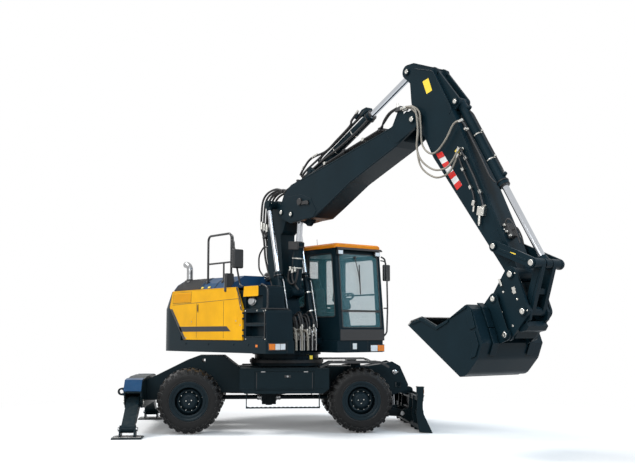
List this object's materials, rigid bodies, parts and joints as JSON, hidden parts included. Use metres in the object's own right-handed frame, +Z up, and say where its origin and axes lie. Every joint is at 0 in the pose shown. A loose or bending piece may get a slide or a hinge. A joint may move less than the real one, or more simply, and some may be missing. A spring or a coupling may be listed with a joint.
{
  "type": "wheeled excavator",
  "caption": "Wheeled excavator with an articulated boom, an arm with quick coupler and bucket, a side cab, a dozer blade and outriggers on a turning undercarriage.",
  "frame": {"origin": "on the ground on the slewing axis", "axes": "+X the way the boom points, +Y the cab's side, +Z up"},
  "size_m": [9.0078, 5.9707, 5.63],
  "materials": {
    "slate_paint": "dark slate blue-grey semi-gloss paint",
    "hood_paint": "dark blue semi-gloss paint",
    "yellow_paint": "golden yellow gloss paint",
    "orange_paint": "orange gloss paint",
    "rim_paint": "dark slate paint",
    "tyre_rubber": "black rubber",
    "window_glass": "tinted clear glass",
    "seat_fabric": "dark woven cloth",
    "cab_plastic": "dark grained plastic",
    "cast_block": "painted casting",
    "rod_chrome": "polished chrome"
  },
  "bodies": {
    "undercarriage": {"chassis": "slate_paint", "side_boxes": "slate_paint", "rear_axle": "slate_paint", "front_axle": "slate_paint", "driveline": "slate_paint", "outrigger_frame": "slate_paint"},
    "upper_structure": {"upper_frame": "slate_paint", "boom_bracket": "slate_paint", "cab_side_right": "slate_paint", "cab_side_left": "slate_paint", "counterweight": "slate_paint", "hood": "hood_paint", "engine": "cast_block", "right_body": "slate_paint", "left_body": "slate_paint", "hand_rails": "slate_paint", "cab_frame": "slate_paint", "cab_roof": "orange_paint", "cab_glass": "window_glass", "seat": "seat_fabric", "console": "cab_plastic"},
    "wheel_rear_right": {"tyre_rear_right": "tyre_rubber", "rim_rear_right": "rim_paint"},
    "wheel_front_right": {"tyre_front_right": "tyre_rubber", "rim_front_right": "rim_paint"},
    "knuckle_right": {"knuckle_right": "slate_paint"},
    "wheel_rear_left": {"tyre_rear_left": "tyre_rubber", "rim_rear_left": "rim_paint"},
    "wheel_front_left": {"tyre_front_left": "tyre_rubber", "rim_front_left": "rim_paint"},
    "knuckle_left": {"knuckle_left": "slate_paint"},
    "blade_arms": {"blade_arms": "slate_paint"},
    "blade_link": {"blade_link": "slate_paint"},
    "blade": {"blade": "slate_paint"},
    "blade_cylinder_barrels": {"blade_cylinder_barrels": "slate_paint"},
    "blade_cylinder_rods": {"blade_cylinder_rods": "rod_chrome"},
    "outrigger_leg_right": {"outrigger_leg_right": "slate_paint"},
    "outrigger_pad_right": {"outrigger_pad_right": "slate_paint"},
    "outrigger_leg_left": {"outrigger_leg_left": "slate_paint"},
    "outrigger_pad_left": {"outrigger_pad_left": "slate_paint"},
    "cab_door": {"cab_door": "slate_paint", "door_glass": "window_glass"},
    "side_door_right": {"side_door_right": "yellow_paint"},
    "side_door_left": {"side_door_left": "yellow_paint"},
    "base_boom": {"base_boom": "slate_paint"},
    "upper_boom": {"upper_boom": "slate_paint"},
    "arm": {"arm": "slate_paint"},
    "idler_links": {"idler_links": "slate_paint"},
    "tipping_link": {"tipping_link": "slate_paint"},
    "lift_cylinder_barrels": {"lift_cylinder_barrels": "slate_paint"},
    "lift_cylinder_rods": {"lift_cylinder_rods": "rod_chrome"},
    "adjust_cylinder_barrel": {"adjust_cylinder_barrel": "slate_paint"},
    "adjust_cylinder_rod": {"adjust_cylinder_rod": "rod_chrome"},
    "arm_cylinder_barrel": {"arm_cylinder_barrel": "slate_paint"},
    "arm_cylinder_rod": {"arm_cylinder_rod": "rod_chrome"},
    "bucket_cylinder_barrel": {"bucket_cylinder_barrel": "slate_paint"},
    "bucket_cylinder_rod": {"bucket_cylinder_rod": "rod_chrome"},
    "bucket": {"coupler": "slate_paint", "bucket": "slate_paint"}
  },
  "joints": [
    {"name": "swing", "type": "hinge", "parent": "undercarriage", "child": "upper_structure", "pos_m": [0, 0, 1.18], "axis": [0, 0, 1], "continuous": true},
    {"name": "steer_right", "type": "hinge", "parent": "undercarriage", "child": "knuckle_right", "pos_m": [1.36849, 0.49923, 0.53], "axis": [0, 0, 1], "range_deg": [-30, 30]},
    {"name": "wheel_front_right_spin", "type": "hinge", "parent": "knuckle_right", "child": "wheel_front_right", "pos_m": [1.46767, 0.43168, 0.53], "axis": [-0.8265, 0.5629, 0], "continuous": true},
    {"name": "wheel_rear_right_spin", "type": "hinge", "parent": "undercarriage", "child": "wheel_rear_right", "pos_m": [-0.10859, -1.8825, 0.53], "axis": [-0.8265, 0.5629, 0], "continuous": true},
    {"name": "steer_left", "type": "hinge", "parent": "undercarriage", "child": "knuckle_left", "pos_m": [-0.03655, 1.45625, 0.53], "axis": [0, 0, 1], "range_deg": [-30.01, 30.01]},
    {"name": "wheel_front_left_spin", "type": "hinge", "parent": "knuckle_left", "child": "wheel_front_left", "pos_m": [-0.13573, 1.5238, 0.53], "axis": [-0.8265, 0.5629, 0], "continuous": true},
    {"name": "wheel_rear_left_spin", "type": "hinge", "parent": "undercarriage", "child": "wheel_rear_left", "pos_m": [-1.71199, -0.79038, 0.53], "axis": [-0.8265, 0.5629, 0], "continuous": true},
    {"name": "blade_lift", "type": "hinge", "parent": "undercarriage", "child": "blade_arms", "pos_m": [0.84442, 1.23974, 0.38], "axis": [0.8265, -0.5629, 0], "range_deg": [-12, 30]},
    {"name": "blade_link_turn", "type": "hinge", "parent": "undercarriage", "child": "blade_link", "pos_m": [0.86694, 1.2728, 0.76], "axis": [0.8265, -0.5629, 0], "range_deg": [-12.01, 30.01]},
    {"name": "blade_level", "type": "hinge", "parent": "blade_arms", "child": "blade", "pos_m": [1.12027, 1.64472, 0.25], "axis": [0.8265, -0.5629, 0], "range_deg": [-30.01, 12.01]},
    {"name": "blade_cylinder_tilt", "type": "hinge", "parent": "undercarriage", "child": "blade_cylinder_barrels", "pos_m": [1.04709, 1.53727, 0.96], "axis": [0.8265, -0.5629, 0], "range_deg": [-1.58, 0.64]},
    {"name": "blade_cylinder_stroke", "type": "slide", "parent": "blade_cylinder_barrels", "child": "blade_cylinder_rods", "axis": [0.0183, 0.0269, -0.9995], "range_m": [-0.19729, 0.07897]},
    {"name": "outrigger_right_lift", "type": "hinge", "parent": "undercarriage", "child": "outrigger_leg_right", "pos_m": [-0.59214, -2.64571, 0.51], "axis": [-0.5629, -0.8265, 0], "range_deg": [-5, 47]},
    {"name": "outrigger_right_pad_tilt", "type": "hinge", "parent": "outrigger_leg_right", "child": "outrigger_pad_right", "pos_m": [-0.03839, -3.02288, 0.14], "axis": [-0.5629, -0.8265, 0], "range_deg": [-50, 25]},
    {"name": "outrigger_left_lift", "type": "hinge", "parent": "undercarriage", "child": "outrigger_leg_left", "pos_m": [-2.24512, -1.51981, 0.51], "axis": [0.5629, 0.8265, 0], "range_deg": [-5, 47]},
    {"name": "outrigger_left_pad_tilt", "type": "hinge", "parent": "outrigger_leg_left", "child": "outrigger_pad_left", "pos_m": [-2.79887, -1.14263, 0.14], "axis": [0.5629, 0.8265, 0], "range_deg": [-50, 25]},
    {"name": "cab_door_swing", "type": "hinge", "parent": "upper_structure", "child": "cab_door", "pos_m": [0.046, 1.251, 2.3], "axis": [0, 0, 1], "range_deg": [0, 95]},
    {"name": "side_door_right_swing", "type": "hinge", "parent": "upper_structure", "child": "side_door_right", "pos_m": [0.476, -1.24, 1.77], "axis": [0, 0, 1], "range_deg": [0, 95]},
    {"name": "side_door_left_swing", "type": "hinge", "parent": "upper_structure", "child": "side_door_left", "pos_m": [-0.544, 1.24, 1.77], "axis": [0, 0, -1], "range_deg": [0, 95]},
    {"name": "base_boom_lower", "type": "hinge", "parent": "upper_structure", "child": "base_boom", "pos_m": [0.33, -0.17, 1.887], "axis": [0, 1, 0], "range_deg": [-3, 60]},
    {"name": "upper_boom_extend", "type": "hinge", "parent": "base_boom", "child": "upper_boom", "pos_m": [0.348, -0.17, 3.708], "axis": [0, -1, 0], "range_deg": [-8, 48]},
    {"name": "arm_out", "type": "hinge", "parent": "upper_boom", "child": "arm", "pos_m": [3.637, -0.17, 4.754], "axis": [0, -1, 0], "range_deg": [-42, 52]},
    {"name": "bucket_open", "type": "hinge", "parent": "arm", "child": "bucket", "pos_m": [5.454, -0.17, 2.387], "axis": [0, -1, 0], "range_deg": [-25, 130]},
    {"name": "lift_cylinder_tilt", "type": "hinge", "parent": "upper_structure", "child": "lift_cylinder_barrels", "pos_m": [0.657, -0.17, 1.479], "axis": [0, -1, 0], "range_deg": [-50.65, 2.54]},
    {"name": "lift_cylinder_stroke", "type": "slide", "parent": "lift_cylinder_barrels", "child": "lift_cylinder_rods", "axis": [-0.2272, 0, 0.9738], "range_m": [-0.37408, 0.0188]},
    {"name": "adjust_cylinder_tilt", "type": "hinge", "parent": "base_boom", "child": "adjust_cylinder_barrel", "pos_m": [0.5, -0.17, 2.33], "axis": [0, -1, 0], "range_deg": [-0.32, 1.87]},
    {"name": "adjust_cylinder_stroke", "type": "slide", "parent": "adjust_cylinder_barrel", "child": "adjust_cylinder_rod", "axis": [0.098, 0, 0.9952], "range_m": [-0.03871, 0.23176]},
    {"name": "arm_cylinder_tilt", "type": "hinge", "parent": "upper_boom", "child": "arm_cylinder_barrel", "pos_m": [1.05, -0.17, 4.345], "axis": [0, -1, 0], "range_deg": [-0.49, 0.61]},
    {"name": "arm_cylinder_stroke", "type": "slide", "parent": "arm_cylinder_barrel", "child": "arm_cylinder_rod", "axis": [0.8974, 0, 0.4412], "range_m": [-0.67338, 0.5439]},
    {"name": "idler_turn", "type": "hinge", "parent": "arm", "child": "idler_links", "pos_m": [5.218, -0.17, 2.763], "axis": [0, -1, 0], "range_deg": [-17.16, 89.17]},
    {"name": "tipping_link_turn", "type": "hinge", "parent": "bucket", "child": "tipping_link", "pos_m": [5.647, -0.17, 1.905], "axis": [0, -1, 0], "range_deg": [-79.17, 15.23]},
    {"name": "bucket_cylinder_tilt", "type": "hinge", "parent": "arm", "child": "bucket_cylinder_barrel", "pos_m": [4.415, -0.17, 4.885], "axis": [0, -1, 0], "range_deg": [-1.58, 8.2]},
    {"name": "bucket_cylinder_stroke", "type": "slide", "parent": "bucket_cylinder_barrel", "child": "bucket_cylinder_rod", "axis": [0.5145, 0, -0.8575], "range_m": [-0.89485, 0.17217]}
  ],
  "couplings": [
    {"joint": "steer_left", "follows": "steer_right", "ratio": 1},
    {"joint": "blade_link_turn", "follows": "blade_lift", "ratio": 1},
    {"joint": "blade_level", "follows": "blade_lift", "ratio": -1},
    {"joint": "blade_cylinder_tilt", "follows": "blade_lift", "ratio": -0.05246},
    {"joint": "blade_cylinder_stroke", "follows": "blade_lift", "m_per_rad": -0.3766},
    {"joint": "lift_cylinder_tilt", "follows": "base_boom_lower", "ratio": -0.84395},
    {"joint": "lift_cylinder_stroke", "follows": "base_boom_lower", "m_per_rad": -0.35712},
    {"joint": "adjust_cylinder_tilt", "follows": "upper_boom_extend", "ratio": 0.03872},
    {"joint": "adjust_cylinder_stroke", "follows": "upper_boom_extend", "m_per_rad": 0.27652},
    {"joint": "arm_cylinder_tilt", "follows": "arm_out", "ratio": 0.01152},
    {"joint": "arm_cylinder_stroke", "follows": "arm_out", "m_per_rad": -0.74185},
    {"joint": "idler_turn", "follows": "bucket_open", "ratio": 0.68584},
    {"joint": "tipping_link_turn", "follows": "bucket_open", "ratio": -0.60895},
    {"joint": "bucket_cylinder_tilt", "follows": "bucket_open", "ratio": 0.06301},
    {"joint": "bucket_cylinder_stroke", "follows": "bucket_open", "m_per_rad": -0.39435}
  ]
}
